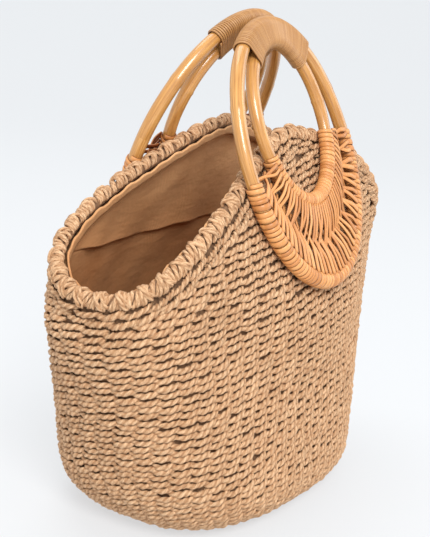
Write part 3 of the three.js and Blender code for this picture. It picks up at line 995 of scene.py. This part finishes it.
def cane_material():
    """Varnished honey cane: long grain, a few dark specks, a soft clear coat."""
    material, tree, shader = node_tree("honey_cane")
    coordinates = add(tree, "ShaderNodeTexCoord")
    strand = coordinates.outputs["UV"]
    place = coordinates.outputs["Object"]
    grain = noise(tree, stretched(tree, strand, (0.35, 14, 1)), 1.0, 5.0, 0.6)
    patches = noise(tree, stretched(tree, strand, (0.25, 0.6, 1)), 1.0, 2.0)
    stops = [(0.28, (0.38, 0.155, 0.036)), (0.52, (0.6, 0.3, 0.085)), (0.75, (0.76, 0.43, 0.15))]
    colour = ramp(tree, grain, stops)
    shade = ramp(tree, patches, [(0.35, (0.8, 0.7, 0.6)), (0.62, WHITE)])
    colour = blend(tree, "MULTIPLY", 0.55, colour, shade)
    specks = noise(tree, stretched(tree, strand, (2.5, 9, 1)), 1.0, 2.0)
    speckled = ramp(tree, specks, [(0.24, (0.35, 0.18, 0.08)), (0.3, WHITE)])
    colour = blend(tree, "MULTIPLY", 0.8, colour, speckled)
    tree.links.new(colour, shader.inputs["Base Color"])
    tree.links.new(bump(tree, grain, 0.15, 0.0003), shader.inputs["Normal"])
    rough = mapped(tree, noise(tree, place, 90.0), {"To Min": 0.22, "To Max": 0.4})
    tree.links.new(rough, shader.inputs["Roughness"])
    set_inputs(shader, {"Coat Weight": 0.6, "Coat Roughness": 0.12})
    return material


def strip_material(name, dark, middle, light, contrast):
    """Split cane strip: fine grain along the strip, a tone for each wrap, painted shade at its edges, a
    satin face.
    """
    material, tree, shader = node_tree(name)
    strand = add(tree, "ShaderNodeTexCoord").outputs["UV"]
    grain = noise(tree, stretched(tree, strand, (0.7, 16, 1)), 1.0, 4.0, 0.6)
    tone = scaled(tree, attribute(tree, "tone"), contrast, 0.3 - contrast / 2)
    colour = ramp(tree, scaled(tree, grain, 0.45, tone), [(0.2, dark), (0.5, middle), (0.8, light)])
    # Painted shade: the strip's colour darkens towards its edges and underside, where shade falls
    # between wraps
    edges = ramp(tree, attribute(tree, "groove"), [(0.3, WHITE), (1.0, (0.28, 0.15, 0.08))])
    colour = blend(tree, "MULTIPLY", 1.0, colour, edges)
    tree.links.new(colour, shader.inputs["Base Color"])
    tree.links.new(bump(tree, grain, 0.3, 0.0003), shader.inputs["Normal"])
    set_inputs(shader, {"Roughness": 0.42, "Coat Weight": 0.15, "Coat Roughness": 0.3})
    return material


def view_axes():
    """The camera's right, up and back directions in the bag's frame."""
    turn = -VIEW_TURN
    back = np.array([
        math.sin(turn) * math.cos(VIEW_RISE),
        -math.cos(turn) * math.cos(VIEW_RISE),
        math.sin(VIEW_RISE),
    ])
    level = np.array([math.cos(turn), math.sin(turn), 0.0])
    upright = np.cross(back, level)
    cosine, sine = math.cos(VIEW_ROLL), math.sin(VIEW_ROLL)
    return cosine * level - sine * upright, sine * level + cosine * upright, back


def add_camera():
    right, up, back = view_axes()
    data = bpy.data.cameras.new("camera")
    data.sensor_width = SENSOR
    data.lens = VIEW_LENS_PIXELS * SENSOR / PHOTO_HEIGHT_PIXELS
    data.clip_start = 0.01
    data.clip_end = 100
    camera = bpy.data.objects.new("camera", data)
    place = (np.array(VIEW_TARGET) + back * VIEW_DISTANCE) * MM
    rows = np.column_stack([right, up, back, place])
    camera.matrix_world = Matrix([*rows.tolist(), [0, 0, 0, 1]])
    bpy.context.scene.collection.objects.link(camera)
    bpy.context.scene.camera = camera


def add_floor():
    """A pale floor that curves up far away, all round."""
    flat = 1.6
    bend = 1.4
    top = 4.0
    bend_steps = 12
    sides = 96
    profile = [(0.02, 0.0), (0.6, 0.0), (1.2, 0.0), (flat, 0.0)]
    for step in range(1, bend_steps + 1):
        angle = step / bend_steps * math.pi / 2
        profile.append((flat + bend * math.sin(angle), bend * (1 - math.cos(angle))))
    profile.append((flat + bend, top))
    points = []
    for radius, height in profile:
        for side in range(sides):
            angle = side / sides * 2 * math.pi
            points.append((radius * math.cos(angle), radius * math.sin(angle), height))
    faces = []
    for row in range(len(profile) - 1):
        here = row * sides
        after = here + sides
        for side in range(sides):
            turn = (side + 1) % sides
            faces.append((here + side, here + turn, after + turn, after + side))
    faces.append(tuple(range(sides))[::-1])
    mesh = bpy.data.meshes.new("floor")
    mesh.from_pydata(points, [], faces)
    mesh.polygons.foreach_set("use_smooth", np.ones(len(faces), dtype=bool))
    floor = bpy.data.objects.new("floor", mesh)
    bpy.context.scene.collection.objects.link(floor)
    material, _, shader = node_tree("pale_floor")
    set_inputs(shader, {
        "Base Color": (0.26, 0.265, 0.27, 1),
        "Emission Color": (0.95, 0.975, 1.0, 1),
        "Emission Strength": 0.6,
        "Roughness": 0.95,
        "Specular IOR Level": 0.1,
    })
    mesh.materials.append(material)


def add_light(name, place, target, size, power, colour):
    data = bpy.data.lights.new(name, "AREA")
    data.shape = "DISK"
    data.size = size
    data.energy = power
    data.color = colour
    light = bpy.data.objects.new(name, data)
    light.location = place
    aim = np.array(target) - np.array(place)
    light.rotation_mode = "QUATERNION"
    light.rotation_quaternion = Vector(aim.tolist()).to_track_quat("-Z", "Y")
    bpy.context.scene.collection.objects.link(light)


def add_lights():
    world = bpy.data.worlds.new("studio")
    world.use_nodes = True
    set_inputs(world.node_tree.nodes["Background"], {"Color": (0.93, 0.96, 1.0, 1), "Strength": 0.6})
    bpy.context.scene.world = world
    middle = (0, 0, 0.15)
    add_light("key", (-1.3, -1.0, 1.35), middle, 0.8, 33, (1.0, 0.98, 0.95))
    add_light("fill", (1.2, -1.2, 0.9), middle, 1.2, 7, (0.97, 0.98, 1.0))
    add_light("top", (0.2, 0.6, 2.0), middle, 1.4, 14, (1.0, 0.99, 0.98))


def ride_all(pieces, slot, *nodes):
    for piece in pieces:
        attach(piece, "root")
        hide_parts(*nodes)


add_camera()
wall = wall_surface()
base = base_surface(wall)

# Colours go from the darkest to the lightest
straw = straw_material("paper_straw", (0.58, 0.34, 0.175), (0.79, 0.5, 0.285), (0.9, 0.62, 0.38))
rope = straw_material("border_straw", (0.6, 0.355, 0.185), (0.8, 0.51, 0.29), (0.91, 0.63, 0.39))
shade = backing_material()
ride_all(straw_weave(wall, base, straw) + [straw_backing(wall, base, shade)], "straw", "basket_body")
ride_all([border_loops(wall, rope), border_core(wall, shade)], "straw_border", "mouth_border")
ride_all([lining_cloth(wall, base, lining_material())], "lining_cloth", "cotton_lining")

cane = cane_material()
orange = ((0.42, 0.15, 0.038), (0.66, 0.28, 0.085), (0.78, 0.39, 0.14))
tan = ((0.3, 0.12, 0.034), (0.45, 0.225, 0.078), (0.58, 0.32, 0.125))
winding = strip_material("winding_strip", *orange, contrast=0.42)
pale = strip_material("binding_strip", *tan, contrast=0.2)
for title, place in HANDLES.items():
    outer = cane_piece(f"{title}_outer_cane", outer_ring, OUTER_CANE / 2, place, cane, (0.5, 2.75, 4.6))
    inner = cane_piece(f"{title}_inner_cane", inner_ring, INNER_CANE / 2, place, cane, (0.2, 2.4, 4.2))
    ride_all([outer], "rattan_cane", f"{title}_outer_ring")
    ride_all([inner], "rattan_cane", f"{title}_inner_ring")
    outer_turns = winding_turns(OUTER_HALF_HEIGHT, 0, OUTER_WINDING_TOPS, place)
    inner_turns = winding_turns(INNER_HALF_HEIGHT, INNER_RISE, INNER_WINDING_TOPS, place)
    windings = [
        coil(outer_ring, OUTER_CANE / 2 - 0.1, outer_turns, 3.6, WINDING_THICKNESS),
        coil(inner_ring, INNER_CANE / 2 - 0.1, inner_turns, 3.2, WINDING_THICKNESS),
        crescent_strips(place, "outer"),
        crescent_strips(place, "inner"),
    ]
    crescent = strip_piece(f"{title}_crescent_strips", windings, place, winding)
    ride_all([crescent], "cane_strip", f"{title}_crescent_web")
    binding = strip_piece(f"{title}_binding_strip", [binding_coil()], place, pale)
    ride_all([binding], "cane_strip", f"{title}_top_binding")

add_floor()
add_lights()
bpy.context.scene.view_settings.view_transform = "Standard"
